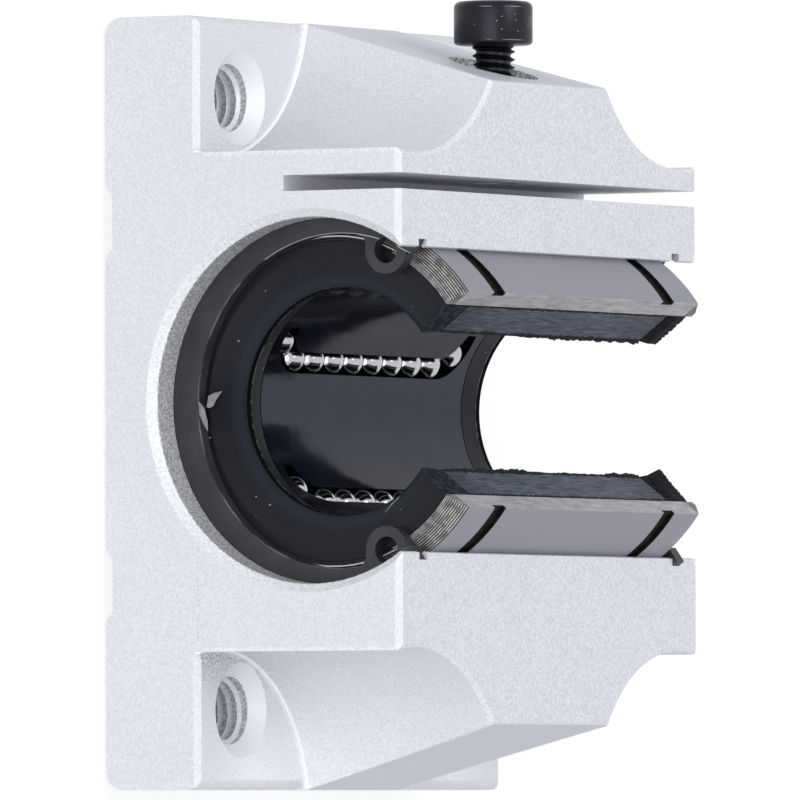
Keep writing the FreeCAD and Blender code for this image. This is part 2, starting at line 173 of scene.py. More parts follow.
def blasted_aluminium():
    """Anodised aluminium, bead blasted: pale silver of fine grain, painted highlights on the pocket edges and painted
    light and shade elsewhere, a sparkling grey bore.
    """
    material, tree, shader, seen = surface("anodised_aluminium_bead_blasted")
    place = seen["Object"]
    here = round_the_shaft(tree, place)
    height = here["z"]
    # fine speckle, with painted shade making the open face a little bluer and the leaning flanks a little darker
    grain = add(tree, "ShaderNodeTexNoise", {"Vector": place, "Scale": per_mm(0.24), "Detail": 2.0, "Roughness": 0.6})
    cloud = add(tree, "ShaderNodeTexNoise", {"Vector": place, "Scale": per_mm(7.0), "Detail": 3.0})
    speckle = add(tree, "ShaderNodeMapRange", {0: grain.outputs["Fac"], 1: 0.34, 2: 0.66}).outputs[0]
    upward = add(tree, "ShaderNodeSeparateXYZ", {0: seen["Normal"]}).outputs[2]
    face_up = add(tree, "ShaderNodeMath", {0: upward, 1: 0.95}, operation="GREATER_THAN").outputs[0]
    high = add(tree, "ShaderNodeMath", {0: height, 1: SHAFT_HEIGHT}, operation="GREATER_THAN").outputs[0]
    open_face = add(tree, "ShaderNodeMath", {0: face_up, 1: high}, operation="MULTIPLY").outputs[0]
    deep = add(tree, "ShaderNodeMix", {0: open_face, 6: colour("#D9DADF"), 7: colour("#CDCFDA")}, data_type="RGBA")
    pale = add(tree, "ShaderNodeMix", {0: speckle, 6: deep.outputs[2], 7: colour("#E9EAEE")}, data_type="RGBA")
    tone = add(tree, "ShaderNodeMapRange", {0: cloud.outputs["Fac"], 1: 0.3, 2: 0.7, 4: 0.2}).outputs[0]
    skin = add(tree, "ShaderNodeMix", {0: tone, 6: pale.outputs[2], 7: colour("#D5D7DD")}, data_type="RGBA")
    folded = add(tree, "ShaderNodeVectorMath", {0: place}, operation="ABSOLUTE").outputs[0]
    lean = add(tree, "ShaderNodeVectorMath", {0: folded, 1: FLANK_LEAN}, operation="DOT_PRODUCT").outputs["Value"]
    flank = add(tree, "ShaderNodeMath", {0: lean, 1: FLANK_REACH, 2: 0.06 * MM}, operation="COMPARE").outputs[0]
    skin = add(tree, "ShaderNodeMix", {0: flank, 6: skin.outputs[2], 7: colour("#CDD0DA")}, data_type="RGBA")
    # the pocket floors, coarse and sparkling and darkened by painted shade where they meet the middle of the block,
    # least on the screw's side
    grit = add(tree, "ShaderNodeMapRange", {0: grain.outputs["Fac"], 1: 0.42, 2: 0.58}).outputs[0]
    coarse = add(tree, "ShaderNodeMix", {0: grit, 6: colour("#8F9197"), 7: colour("#F7F8FA")}, data_type="RGBA")
    floor_here = add(tree, "ShaderNodeMath", {0: height, 1: POCKET_FLOOR, 2: 0.03 * MM}, operation="COMPARE")
    shade_side = add(tree, "ShaderNodeMapRange", {0: here["x"], 1: -1.0 * MM, 2: 1.0 * MM, 3: 0.15, 4: 0.65}).outputs[0]
    inner = add(tree, "ShaderNodeMapRange", {0: here["side"], 1: POCKET_GRIT[0], 2: POCKET_GRIT[1], 3: shade_side, 4: 0.0})
    gritty_shade = add(tree, "ShaderNodeMath", {0: floor_here.outputs[0], 1: inner.outputs[0]}, operation="MULTIPLY")
    skin = add(tree, "ShaderNodeMix", {0: gritty_shade.outputs[0], 6: skin.outputs[2], 7: coarse.outputs[2]},
               data_type="RGBA")
    # the bolt holes, grey inside as painted shade, with a painted highlight on the countersink
    level = add(tree, "ShaderNodeVectorMath", {0: folded, 1: (1, 1, 0)}, operation="MULTIPLY").outputs[0]
    bolt = add(tree, "ShaderNodeVectorMath", {0: level, 1: (BOLT_X, BOLT_Y, 0)}, operation="DISTANCE").outputs["Value"]
    bored_out = add(tree, "ShaderNodeMath", {0: bolt, 1: BOLT_THREAD_RADIUS, 2: 0.05 * MM}, operation="COMPARE")
    drilled_shade = add(tree, "ShaderNodeMix", {0: speckle, 6: colour("#A6A8AE"), 7: colour("#F0F1F4")}, data_type="RGBA")
    skin = add(tree, "ShaderNodeMix", {0: bored_out.outputs[0], 6: skin.outputs[2], 7: drilled_shade.outputs[2]},
               data_type="RGBA")
    bolt_here = add(tree, "ShaderNodeMath", {0: bolt, 1: BOLT_SINK_RADIUS}, operation="LESS_THAN").outputs[0]
    sunk = add(tree, "ShaderNodeMath", {0: height, 1: BOLT_SINK_FOOT}, operation="GREATER_THAN").outputs[0]
    sink_highlight = add(tree, "ShaderNodeMath", {0: bolt_here, 1: sunk}, operation="MULTIPLY").outputs[0]
    skin = add(tree, "ShaderNodeMix", {0: sink_highlight, 6: skin.outputs[2], 7: colour("#EEEFF3")}, data_type="RGBA")
    # painted light in the pockets away from the screw: lighter toward the block's edge and along the foot of the wall
    reach = add(tree, "ShaderNodeVectorMath", {0: level, 1: POCKET_PLACE}, operation="DISTANCE").outputs["Value"]
    within = add(tree, "ShaderNodeMath", {0: reach, 1: POCKET_RADIUS + 0.04 * MM}, operation="LESS_THAN").outputs[0]
    raised = add(tree, "ShaderNodeMath", {0: height, 1: POCKET_FLOOR - 0.03 * MM}, operation="GREATER_THAN").outputs[0]
    pocket = add(tree, "ShaderNodeMath", {0: within, 1: raised}, operation="MULTIPLY").outputs[0]
    low = add(tree, "ShaderNodeMapRange", {0: height, 1: POCKET_FLOOR, 2: POCKET_PALE_TOP, 3: 0.8, 4: 0.2}).outputs[0]
    inward = add(tree, "ShaderNodeMapRange", {0: here["along"], 1: POCKET_PALE_Y[0], 2: POCKET_PALE_Y[1], 4: low})
    lit_toward_edge = add(tree, "ShaderNodeMapRange", {
        0: here["x"], 1: POCKET_PALE_X[0], 2: POCKET_PALE_X[1], 4: inward.outputs[0]})
    painted_light = add(tree, "ShaderNodeMath", {0: pocket, 1: lit_toward_edge.outputs[0]}, operation="MULTIPLY").outputs[0]
    lit_pale = add(tree, "ShaderNodeMix", {0: speckle, 6: colour("#E9EAEF"), 7: colour("#FBFBFD")}, data_type="RGBA")
    skin = add(tree, "ShaderNodeMix", {0: painted_light, 6: skin.outputs[2], 7: lit_pale.outputs[2]}, data_type="RGBA")
    # painted highlights, near white: lines on the foot and the broken rim of the pockets, the spot face and the
    # chamfers of the bore
    foot_ring = add(tree, "ShaderNodeMath", {0: reach, 1: POCKET_RADIUS - 0.1 * MM, 2: 0.09 * MM}, operation="COMPARE")
    foot_level = add(tree, "ShaderNodeMath", {0: height, 1: POCKET_FLOOR, 2: 0.4 * MM}, operation="COMPARE")
    foot = add(tree, "ShaderNodeMath", {0: foot_ring.outputs[0], 1: foot_level.outputs[0]}, operation="MULTIPLY")
    rim_ring = add(tree, "ShaderNodeMath", {0: reach, 1: POCKET_RADIUS + 0.2 * MM, 2: 0.17 * MM}, operation="COMPARE")
    above = add(tree, "ShaderNodeMath", {0: height, 1: POCKET_FLOOR + 0.6 * MM}, operation="GREATER_THAN").outputs[0]
    rim_here = add(tree, "ShaderNodeMath", {0: rim_ring.outputs[0], 1: above}, operation="MULTIPLY").outputs[0]
    edge_glint = add(tree, "ShaderNodeMapRange", {0: speckle, 4: 0.55}).outputs[0]
    rim = add(tree, "ShaderNodeMath", {0: rim_here, 1: edge_glint}, operation="MULTIPLY").outputs[0]
    across = add(tree, "ShaderNodeVectorMath", {0: place, 1: (0, 1, 1)}, operation="MULTIPLY").outputs[0]
    spot = add(tree, "ShaderNodeVectorMath", {0: across, 1: SPOTFACE_PLACE}, operation="DISTANCE").outputs["Value"]
    outside = add(tree, "ShaderNodeMath", {0: here["x"], 1: SPOTFACE_OUTSIDE}, operation="LESS_THAN").outputs[0]
    spot_floor = add(tree, "ShaderNodeMath", {0: spot, 1: SPOTFACE_RADIUS}, operation="LESS_THAN").outputs[0]
    spot_here = add(tree, "ShaderNodeMath", {0: outside, 1: spot_floor}, operation="MULTIPLY").outputs[0]
    ring_out = add(tree, "ShaderNodeMath", {0: here["radius"], 1: BORE_RADIUS + 0.4 * MM, 2: 0.34 * MM},
                   operation="COMPARE").outputs[0]
    ring_row = add(tree, "ShaderNodeMath", {0: here["along"], 1: BORE_CHAMFER_FOOT}, operation="GREATER_THAN")
    ring_here = add(tree, "ShaderNodeMath", {0: ring_out, 1: ring_row.outputs[0]}, operation="MULTIPLY").outputs[0]
    sparkle = add(tree, "ShaderNodeMapRange", {0: speckle, 3: 0.1, 4: 0.8}).outputs[0]
    bright = add(tree, "ShaderNodeMath", {0: ring_here, 1: sparkle}, operation="MULTIPLY").outputs[0]
    for line in (foot.outputs[0], rim, spot_here):
        bright = add(tree, "ShaderNodeMath", {0: bright, 1: line}, operation="MAXIMUM").outputs[0]
    skin = add(tree, "ShaderNodeMix", {0: bright, 6: skin.outputs[2], 7: colour("#FAFBFD")}, data_type="RGBA")
    # the wall round the spot face, machined speckle raised near white as painted light against its shade, and the wall
    # of the bore
    edge = add(tree, "ShaderNodeMath", {0: spot, 1: SPOTFACE_RADIUS, 2: 0.06 * MM}, operation="COMPARE").outputs[0]
    edge_here = add(tree, "ShaderNodeMath", {0: outside, 1: edge}, operation="MULTIPLY").outputs[0]
    milled_and_lit = add(tree, "ShaderNodeMix", {0: grit, 6: colour("#A2A4A9"), 7: colour("#FAFBFC")}, data_type="RGBA")
    skin = add(tree, "ShaderNodeMix", {0: edge_here, 6: skin.outputs[2], 7: milled_and_lit.outputs[2]}, data_type="RGBA")
    bored = add(tree, "ShaderNodeMix", {0: speckle, 6: colour("#93949A"), 7: colour("#E2E3E6")}, data_type="RGBA")
    bored_here = add(tree, "ShaderNodeMath", {0: here["radius"], 1: BORE_RADIUS, 2: 0.05 * MM}, operation="COMPARE")
    skin = add(tree, "ShaderNodeMix", {0: bored_here.outputs[0], 6: skin.outputs[2], 7: bored.outputs[2]},
               data_type="RGBA")
    matt = add(tree, "ShaderNodeMapRange", {0: speckle, 3: 0.6, 4: 0.46}).outputs[0]
    pits = add(tree, "ShaderNodeBump", {"Height": speckle, "Strength": 0.3, "Distance": 0.02 * MM}).outputs[0]
    feed(tree, shader, {"Base Color": skin.outputs[2], "Roughness": matt, "Normal": pits, "Metallic": 0.25})
    return material


def cut_aluminium():
    """Aluminium, thread cut by a tap: a little rough flanks, pale as fresh cut metal and paler still as painted light.
    """
    material, tree, shader, seen = surface("aluminium_cut_thread")
    place = seen["Object"]
    chatter = add(tree, "ShaderNodeTexNoise", {"Vector": place, "Scale": per_mm(0.2), "Detail": 2.0}).outputs["Fac"]
    tone = add(tree, "ShaderNodeMix", {0: chatter, 6: colour("#B9BBC0"), 7: colour("#FBFCFD")}, data_type="RGBA")
    relief = add(tree, "ShaderNodeBump", {"Height": chatter, "Strength": 0.4, "Distance": 0.05 * MM}).outputs[0]
    feed(tree, shader, {"Base Color": tone.outputs[2], "Roughness": 0.45, "Normal": relief, "Metallic": 0.2})
    return material


def ground_steel():
    """Bearing steel, ground: even grey with the finest lines, sawn slot edges, chamfers turned in rings, an end face
    in painted shade with a painted glint ring.
    """
    material, tree, shader, seen = surface("bearing_steel_ground")
    place = seen["Object"]
    here = round_the_shaft(tree, place)
    radius, along = here["radius"], here["along"]
    fine = add(tree, "ShaderNodeMapping", {"Vector": place, "Scale": (0.3, 4.0, 0.3)}).outputs[0]
    lines = add(tree, "ShaderNodeTexNoise", {"Vector": fine, "Scale": per_mm(1.2), "Detail": 4.0}).outputs["Fac"]
    ground = add(tree, "ShaderNodeMix", {0: lines, 6: colour("#878692"), 7: colour("#94939E")}, data_type="RGBA")
    saw = add(tree, "ShaderNodeMapping", {"Vector": place, "Scale": (3.0, 0.6, 3.0)}).outputs[0]
    marks = add(tree, "ShaderNodeTexNoise", {"Vector": saw, "Scale": per_mm(1.2), "Detail": 5.0}).outputs["Fac"]
    scored = add(tree, "ShaderNodeMapRange", {0: marks, 1: 0.3, 2: 0.7}).outputs[0]
    sawn = add(tree, "ShaderNodeMix", {0: scored, 6: colour("#9B999D"), 7: colour("#C2BFC2")}, data_type="RGBA")
    sawn_here = add(tree, "ShaderNodeMath", {0: here["behind"], 1: 0.0, 2: 0.04 * MM}, operation="COMPARE").outputs[0]
    skin = add(tree, "ShaderNodeMix", {0: sawn_here, 6: ground.outputs[2], 7: sawn.outputs[2]}, data_type="RGBA")
    rough = add(tree, "ShaderNodeTexNoise", {"Vector": place, "Scale": per_mm(0.7), "Detail": 4.0}).outputs["Fac"]
    wander = add(tree, "ShaderNodeMath", {0: rough, 1: 0.08 * MM, 2: radius}, operation="MULTIPLY_ADD").outputs[0]
    turns = add(tree, "ShaderNodeMath", {0: wander, 1: 2 * math.pi / TURNING_FEED}, operation="MULTIPLY").outputs[0]
    ridges = add(tree, "ShaderNodeMath", {0: turns}, operation="SINE").outputs[0]
    ring = add(tree, "ShaderNodeMapRange", {0: ridges, 1: -0.1, 2: 0.95}).outputs[0]
    faded = add(tree, "ShaderNodeMapRange", {0: rough, 1: 0.35, 2: 0.62, 3: 0.25, 4: 1.0}).outputs[0]
    share = add(tree, "ShaderNodeMath", {0: ring, 1: faded}, operation="MULTIPLY").outputs[0]
    turned = add(tree, "ShaderNodeMix", {0: share, 6: colour("#403D3E"), 7: colour("#D9D5D3")}, data_type="RGBA")
    chamfer_here = add(tree, "ShaderNodeMath", {0: along, 1: SLEEVE_CHAMFER, 2: SLEEVE_CHAMFER_HALF},
                       operation="COMPARE").outputs[0]
    skin = add(tree, "ShaderNodeMix", {0: chamfer_here, 6: skin.outputs[2], 7: turned.outputs[2]}, data_type="RGBA")
    # painted shade: the end face away from the slot is near black, with a painted glint ring
    end_row = add(tree, "ShaderNodeMath", {0: along, 1: SEAL_END - 0.02 * MM}, operation="GREATER_THAN").outputs[0]
    away = add(tree, "ShaderNodeMath", {0: here["behind"], 1: SLEEVE_DARK_FROM}, operation="GREATER_THAN").outputs[0]
    end_here = add(tree, "ShaderNodeMath", {0: end_row, 1: away}, operation="MULTIPLY").outputs[0]
    glint = add(tree, "ShaderNodeMath", {0: radius, 1: SLEEVE_GLINT_RADIUS, 2: 0.06 * MM},
                operation="COMPARE").outputs[0]
    end = add(tree, "ShaderNodeMix", {0: glint, 6: colour("#131315"), 7: colour("#DADADC")}, data_type="RGBA")
    skin = add(tree, "ShaderNodeMix", {0: end_here, 6: skin.outputs[2], 7: end.outputs[2]}, data_type="RGBA")
    # the ring groove: near black and dull
    groove_row = add(tree, "ShaderNodeMath", {0: along, 1: RING_GROOVE, 2: RING_GROOVE_HALF},
                     operation="COMPARE").outputs[0]
    groove_level = add(tree, "ShaderNodeMath", {0: radius, 1: RING_GROOVE_RADIUS, 2: RING_GROOVE_DEPTH},
                       operation="COMPARE").outputs[0]
    groove_here = add(tree, "ShaderNodeMath", {0: groove_row, 1: groove_level}, operation="MULTIPLY").outputs[0]
    scale = add(tree, "ShaderNodeMix", {0: scored, 6: colour("#0E0C0B"), 7: colour("#2B2724")}, data_type="RGBA")
    skin = add(tree, "ShaderNodeMix", {0: groove_here, 6: skin.outputs[2], 7: scale.outputs[2]}, data_type="RGBA")
    coarse = add(tree, "ShaderNodeMath", {0: sawn_here, 1: groove_here}, operation="MAXIMUM").outputs[0]
    matt = add(tree, "ShaderNodeMapRange", {0: coarse, 3: 0.4, 4: 0.6}).outputs[0]
    height = add(tree, "ShaderNodeMix", {0: chamfer_here, 2: scored, 3: ridges}).outputs[0]
    depth = add(tree, "ShaderNodeMath", {0: coarse, 1: chamfer_here}, operation="MAXIMUM").outputs[0]
    strength = add(tree, "ShaderNodeMapRange", {0: depth, 3: 0.05, 4: 0.4}).outputs[0]
    relief = add(tree, "ShaderNodeBump", {"Height": height, "Strength": strength, "Distance": 0.04 * MM}).outputs[0]
    gleam = add(tree, "ShaderNodeMapRange", {0: groove_here, 3: 0.5, 4: 0.02}).outputs[0]
    feed(tree, shader, {
        "Base Color": skin.outputs[2], "Roughness": matt, "Normal": relief, "Specular IOR Level": gleam,
        "Metallic": 0.35})
    return material


def moulded_resin():
    """Acetal resin, moulded glossy blue-black, sawn through at the slot, where it is slate grey, scored and rough."""
    material, tree, shader, seen = surface("acetal_resin_moulded")
    place = seen["Object"]
    here = round_the_shaft(tree, place)
    sawn_here = add(tree, "ShaderNodeMath", {0: here["behind"], 1: 0.0, 2: 0.05 * MM}, operation="COMPARE").outputs[0]
    stretched = add(tree, "ShaderNodeMapping", {"Vector": place, "Scale": (3.2, 0.4, 3.2)}).outputs[0]
    tear = add(tree, "ShaderNodeTexNoise", {"Vector": stretched, "Scale": per_mm(0.8), "Detail": 5.0}).outputs["Fac"]
    torn = add(tree, "ShaderNodeMapRange", {0: tear, 1: 0.34, 2: 0.68}).outputs[0]
    slate = add(tree, "ShaderNodeMix", {0: torn, 6: colour("#383D46"), 7: colour("#666D79")}, data_type="RGBA")
    # painted shade: the sawn faces darken toward the ends
    near_end = add(tree, "ShaderNodeMapRange", {0: here["along"], 1: CAGE_DARK_FROM, 2: CAGE_HALF, 4: 0.5}).outputs[0]
    sawn = add(tree, "ShaderNodeMix", {0: near_end, 6: slate.outputs[2], 7: colour("#15171B")}, data_type="RGBA")
    wave = add(tree, "ShaderNodeTexNoise", {"Vector": place, "Scale": per_mm(5.0), "Detail": 3.0}).outputs["Fac"]
    smear = add(tree, "ShaderNodeMapRange", {0: wave, 1: 0.35, 2: 0.7}).outputs[0]
    bore = add(tree, "ShaderNodeMix", {0: smear, 6: colour("#0B0E17"), 7: colour("#131824")}, data_type="RGBA")
    skin = add(tree, "ShaderNodeMix", {0: sawn_here, 6: bore.outputs[2], 7: sawn.outputs[2]}, data_type="RGBA")
    gloss = add(tree, "ShaderNodeMapRange", {0: smear, 3: 0.1, 4: 0.17}).outputs[0]
    matt = add(tree, "ShaderNodeMix", {0: sawn_here, 2: gloss, 3: 0.65}).outputs[0]
    height = add(tree, "ShaderNodeMix", {0: sawn_here, 2: wave, 3: torn}).outputs[0]
    relief = add(tree, "ShaderNodeBump", {"Height": height, "Strength": 0.5, "Distance": 0.08 * MM}).outputs[0]
    shine = add(tree, "ShaderNodeMapRange", {0: here["side"], 1: CAGE_SHINE[0], 2: CAGE_SHINE[1], 3: 0.38, 4: 0.03})
    gleam = add(tree, "ShaderNodeMix", {0: sawn_here, 2: shine.outputs[0], 3: 0.4}).outputs[0]
    feed(tree, shader, {
        "Base Color": skin.outputs[2], "Roughness": matt, "Normal": relief, "Specular IOR Level": gleam,
        "Specular Tint": colour("#A3B8F0")})
    return material


def torn_resin(name, dark, pale):
    """Acetal resin, torn by the saw: dull and mottled, black along the edges, pale grey in the loose chips and in a
    strip that is a painted highlight.
    """
    material, tree, shader, seen = surface(name)
    place = seen["Object"]
    mottle = add(tree, "ShaderNodeTexNoise", {"Vector": place, "Scale": per_mm(0.5), "Detail": 4.0}).outputs["Fac"]
    skin = add(tree, "ShaderNodeMix", {0: mottle, 6: colour(dark), 7: colour(pale)}, data_type="RGBA")
    relief = add(tree, "ShaderNodeBump", {"Height": mottle, "Strength": 0.6, "Distance": 0.1 * MM}).outputs[0]
    feed(tree, shader, {
        "Base Color": skin.outputs[2], "Roughness": 0.7, "Normal": relief, "Specular IOR Level": 0.15})
    return material


def moulded_rubber():
    """Nitrile rubber, moulded: satin black, fine mould skin, painted bluish sheen and painted shadow at the lip,
    glossy inside, dull where sawn.
    """
    material, tree, shader, seen = surface("nitrile_rubber_moulded")
    place = seen["Object"]
    here = round_the_shaft(tree, place)
    radius, along = here["radius"], here["along"]
    mould = add(tree, "ShaderNodeTexNoise", {"Vector": place, "Scale": per_mm(0.6), "Detail": 4.0}).outputs["Fac"]
    black = add(tree, "ShaderNodeMix", {0: mould, 6: colour("#131417"), 7: colour("#1F2023")}, data_type="RGBA")
    # a painted bluish sheen on the lip
    rise = add(tree, "ShaderNodeMapRange", {0: radius, 1: SEAL_LIP + 1.5 * MM, 2: SEAL_LIP + 0.7 * MM}).outputs[0]
    fall = add(tree, "ShaderNodeMapRange", {0: radius, 1: SEAL_LIP, 2: SEAL_LIP + 0.4 * MM}).outputs[0]
    lip_sheen = add(tree, "ShaderNodeMath", {0: rise, 1: fall}, operation="MULTIPLY").outputs[0]
    skin = add(tree, "ShaderNodeMix", {0: lip_sheen, 6: black.outputs[2], 7: colour("#20242D")}, data_type="RGBA")
    cells = add(tree, "ShaderNodeTexVoronoi", {"Vector": place, "Scale": per_mm(1.5)}).outputs["Distance"]
    dust = add(tree, "ShaderNodeMath", {0: cells, 1: 0.06}, operation="LESS_THAN").outputs[0]
    skin = add(tree, "ShaderNodeMix", {0: dust, 6: skin.outputs[2], 7: colour("#8E9097")}, data_type="RGBA")
    # painted shadow: the lip's inner edge is black; the skin behind it begins with a pale flecked line, a painted
    # highlight
    lip = add(tree, "ShaderNodeMath", {0: along, 1: SEAL_LIP_EDGE, 2: 0.32 * MM}, operation="COMPARE").outputs[0]
    behind_lip = add(tree, "ShaderNodeMath", {0: along, 1: SEAL_LIP_BACK}, operation="LESS_THAN").outputs[0]
    skin = add(tree, "ShaderNodeMix", {0: lip, 6: skin.outputs[2], 7: colour("#060709")}, data_type="RGBA")
    flecks = add(tree, "ShaderNodeMapRange", {0: mould, 1: 0.48, 2: 0.56}).outputs[0]
    line = add(tree, "ShaderNodeMath", {0: along, 1: SEAL_LINE, 2: 0.05 * MM}, operation="COMPARE").outputs[0]
    flecked = add(tree, "ShaderNodeMath", {0: line, 1: flecks}, operation="MULTIPLY").outputs[0]
    skin = add(tree, "ShaderNodeMix", {0: flecked, 6: skin.outputs[2], 7: colour("#73767D")}, data_type="RGBA")
    # the slot's cut faces, flecked, with painted shade making the far seal's darker than the near seal's
    far = add(tree, "ShaderNodeMath", {0: here["y"], 1: 0.0}, operation="GREATER_THAN").outputs[0]
    dark = add(tree, "ShaderNodeMix", {0: far, 6: colour("#22252B"), 7: colour("#08090B")}, data_type="RGBA")
    pale = add(tree, "ShaderNodeMix", {0: far, 6: colour("#363B43"), 7: colour("#1B1D21")}, data_type="RGBA")
    sawn_here = add(tree, "ShaderNodeMath", {0: here["behind"], 1: 0.0, 2: 0.05 * MM}, operation="COMPARE").outputs[0]
    sawn = add(tree, "ShaderNodeMix", {0: flecks, 6: dark.outputs[2], 7: pale.outputs[2]}, data_type="RGBA")
    skin = add(tree, "ShaderNodeMix", {0: sawn_here, 6: skin.outputs[2], 7: sawn.outputs[2]}, data_type="RGBA")
    depth = add(tree, "ShaderNodeMapRange", {0: sawn_here, 3: 0.15, 4: 0.9}).outputs[0]
    relief = add(tree, "ShaderNodeBump", {"Height": mould, "Strength": depth, "Distance": 0.06 * MM}).outputs[0]
    dull = add(tree, "ShaderNodeMath", {0: sawn_here, 1: lip}, operation="MAXIMUM").outputs[0]
    satin = add(tree, "ShaderNodeMapRange", {0: behind_lip, 3: 0.42, 4: 0.3}).outputs[0]
    matt = add(tree, "ShaderNodeMix", {0: dull, 2: satin, 3: 0.75}).outputs[0]
    dish = add(tree, "ShaderNodeMapRange", {0: here["side"], 1: SEAL_SHINE[0], 2: SEAL_SHINE[1], 3: 0.08, 4: 0.22})
    inner = add(tree, "ShaderNodeMapRange", {0: far, 3: 0.03, 4: 0.22}).outputs[0]
    shine = add(tree, "ShaderNodeMix", {0: behind_lip, 2: dish.outputs[0], 3: inner}).outputs[0]
    gleam = add(tree, "ShaderNodeMix", {0: dull, 2: shine, 3: 0.05}).outputs[0]
    feed(tree, shader, {
        "Base Color": skin.outputs[2], "Roughness": matt, "Normal": relief, "Specular IOR Level": gleam,
        "Specular Tint": colour("#DDE3F4")})
    return material


def phosphated_steel():
    """Spring steel, stamped and phosphated: dark grey satin of fine crystal grain, a painted highlight along its inner
    edge.
    """
    material, tree, shader, seen = surface("spring_steel_phosphated")
    place = seen["Object"]
    grain = add(tree, "ShaderNodeTexNoise", {"Vector": place, "Scale": per_mm(0.22), "Detail": 3.0}).outputs["Fac"]
    cloud = add(tree, "ShaderNodeTexNoise", {"Vector": place, "Scale": per_mm(3.0), "Detail": 3.0}).outputs["Fac"]
    mixed = add(tree, "ShaderNodeMath", {0: grain, 1: 0.5, 2: cloud}, operation="MULTIPLY_ADD").outputs[0]
    share = add(tree, "ShaderNodeMapRange", {0: mixed, 1: 0.5, 2: 1.0}).outputs[0]
    skin = add(tree, "ShaderNodeMix", {0: share, 6: colour("#292A2D"), 7: colour("#393A3E")}, data_type="RGBA")
    # a painted highlight on the inner edge of the outer face, full toward -X and in patches elsewhere
    level = add(tree, "ShaderNodeVectorMath", {0: place, 1: (1, 0, 1)}, operation="MULTIPLY").outputs[0]
    eye = add(tree, "ShaderNodeVectorMath", {0: level, 1: CIRCLIP_EYE}, operation="DISTANCE").outputs["Value"]
    edge = add(tree, "ShaderNodeMath", {0: eye, 1: CIRCLIP_EYE_RADIUS, 2: 0.05 * MM}, operation="COMPARE").outputs[0]
    x, y, _ = add(tree, "ShaderNodeSeparateXYZ", {0: place}).outputs
    along = add(tree, "ShaderNodeMath", {0: y}, operation="ABSOLUTE").outputs[0]
    outer = add(tree, "ShaderNodeMath", {0: along, 1: CIRCLIP_FACE}, operation="GREATER_THAN").outputs[0]
    edge_here = add(tree, "ShaderNodeMath", {0: edge, 1: outer}, operation="MULTIPLY").outputs[0]
    glint_side = add(tree, "ShaderNodeMath", {0: x, 1: CIRCLIP_GLINT_SIDE}, operation="LESS_THAN").outputs[0]
    glint_patches = add(tree, "ShaderNodeMapRange", {0: cloud, 1: 0.45, 2: 0.6, 4: 0.5}).outputs[0]
    glint_share = add(tree, "ShaderNodeMath", {0: glint_side, 1: glint_patches}, operation="MAXIMUM").outputs[0]
    edge_glint = add(tree, "ShaderNodeMath", {0: edge_here, 1: glint_share}, operation="MULTIPLY").outputs[0]
    skin = add(tree, "ShaderNodeMix", {0: edge_glint, 6: skin.outputs[2], 7: colour("#A6A6A9")}, data_type="RGBA")
    relief = add(tree, "ShaderNodeBump", {"Height": grain, "Strength": 0.2, "Distance": 0.02 * MM}).outputs[0]
    feed(tree, shader, {"Base Color": skin.outputs[2], "Roughness": 0.52, "Normal": relief, "Metallic": 0.2})
    return material


def oxide_black_steel(rims):
    """Alloy steel, black oxide and oil: deep black, half glossy, with pale dust and painted highlights on the head's
    rims.
    """
    material, tree, shader, seen = surface("alloy_steel_black_oxide")
    place = seen["Object"]
    mottle = add(tree, "ShaderNodeTexNoise", {"Vector": place, "Scale": per_mm(1.1), "Detail": 4.0}).outputs["Fac"]
    skin = add(tree, "ShaderNodeMix", {0: mottle, 6: colour("#07080B"), 7: colour("#121318")}, data_type="RGBA")
    cells = add(tree, "ShaderNodeTexVoronoi", {"Vector": place, "Scale": per_mm(0.7)}).outputs["Distance"]
    pale = add(tree, "ShaderNodeMath", {0: cells, 1: 0.09}, operation="LESS_THAN").outputs[0]
    # painted highlights: thin lines on the head's rims, on its lit side, in patches; they share one mask with the dust
    facing = add(tree, "ShaderNodeVectorMath", {0: place, 1: HEAD_FACING}, operation="DOT_PRODUCT").outputs["Value"]
    lit_side = add(tree, "ShaderNodeMapRange", {0: facing, 1: HEAD_LIT_SPAN[0], 2: HEAD_LIT_SPAN[1]}).outputs[0]
    glint_patches = add(tree, "ShaderNodeMapRange", {0: mottle, 1: 0.43, 2: 0.5, 4: lit_side}).outputs[0]
    x = add(tree, "ShaderNodeSeparateXYZ", {0: place}).outputs[0]
    for rim in rims:
        line = add(tree, "ShaderNodeMath", {0: x, 1: rim, 2: 0.035 * MM}, operation="COMPARE").outputs[0]
        edge_glint = add(tree, "ShaderNodeMath", {0: line, 1: glint_patches}, operation="MULTIPLY").outputs[0]
        pale = add(tree, "ShaderNodeMath", {0: pale, 1: edge_glint}, operation="MAXIMUM").outputs[0]
    skin = add(tree, "ShaderNodeMix", {0: pale, 6: skin.outputs[2], 7: colour("#8A8A8E")}, data_type="RGBA")
    matt = add(tree, "ShaderNodeMapRange", {0: mottle, 1: 0.3, 2: 0.7, 3: 0.24, 4: 0.42}).outputs[0]
    relief = add(tree, "ShaderNodeBump", {"Height": mottle, "Strength": 0.2, "Distance": 0.05 * MM}).outputs[0]
    feed(tree, shader, {
        "Base Color": skin.outputs[2], "Roughness": matt, "Normal": relief, "Specular IOR Level": 0.36,
        "Specular Tint": colour("#DDE1F2")})
    return material


def polished_steel():
    """Chrome steel, lapped and polished: a clear mirror with the faintest haze."""
    material, tree, shader, seen = surface("chrome_steel_polished")
    haze = add(tree, "ShaderNodeTexNoise", {"Vector": seen["Object"], "Scale": per_mm(0.8), "Detail": 3.0})
    matt = add(tree, "ShaderNodeMapRange", {0: haze.outputs["Fac"], 1: 0.3, 2: 0.7, 3: 0.1, 4: 0.18}).outputs[0]
    feed(tree, shader, {"Base Color": colour("#BEBEC1"), "Roughness": matt, "Metallic": 1.0})
    return material


